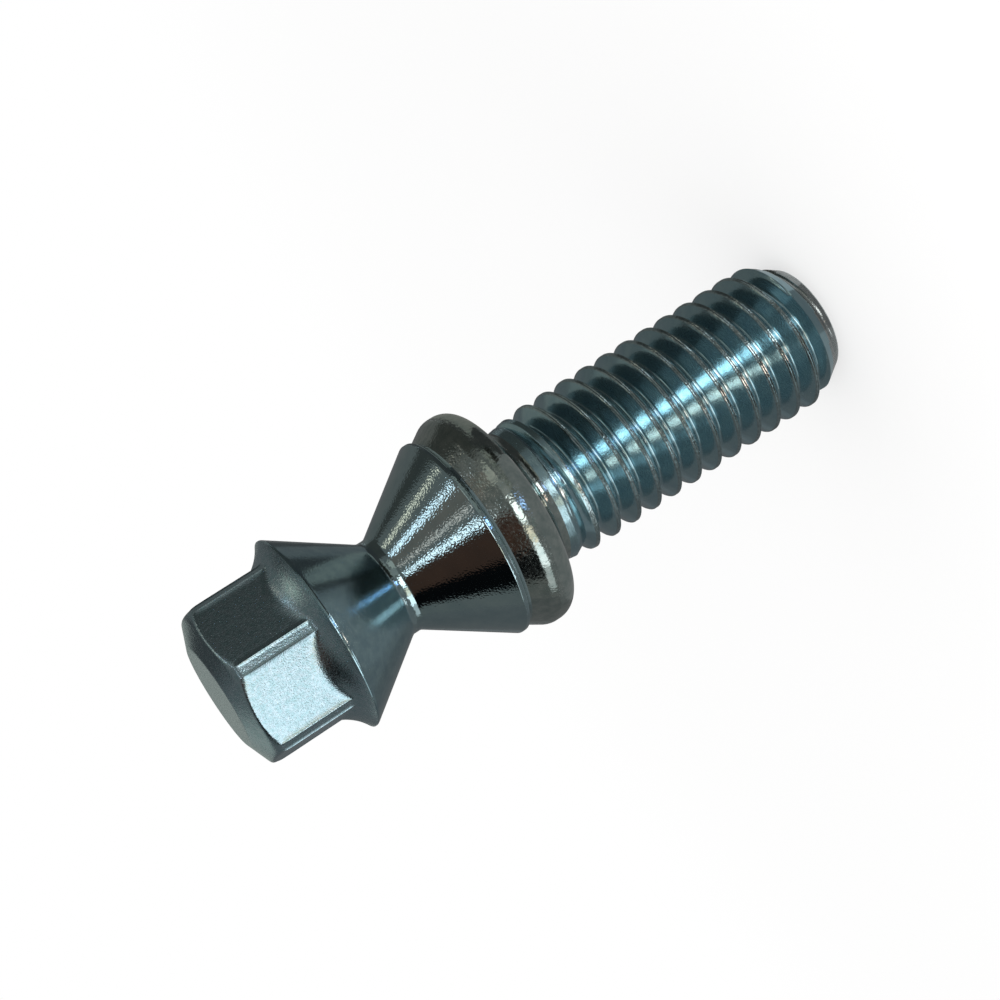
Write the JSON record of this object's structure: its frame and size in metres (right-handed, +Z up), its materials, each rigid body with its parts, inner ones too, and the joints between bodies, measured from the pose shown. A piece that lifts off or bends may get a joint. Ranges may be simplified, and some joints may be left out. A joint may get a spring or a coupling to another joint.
{
  "type": "steering lock bolt",
  "caption": "Shear-off bolt for a steering lock: a hexagon and thin flange that twist off at a waisted neck, a tapered head with a rounded collar, and a coarse rolled thread.",
  "frame": {"origin": "on the ground that the bolt stands on, at the centre of the flat end of its thread", "axes": "+Z up along the bolt's axis, from the end of its thread to its head; +X and +Y across it, with the camera of the picture on the side of -Y"},
  "size_m": [0.0116, 0.0116, 0.0351],
  "materials": {
    "zinc_plate": "bright zinc plating with a blue-green passivation, grainy from the forged and rolled surface"
  },
  "bodies": {
    "root": {"shear_bolt": "zinc_plate"}
  },
  "joints": []
}
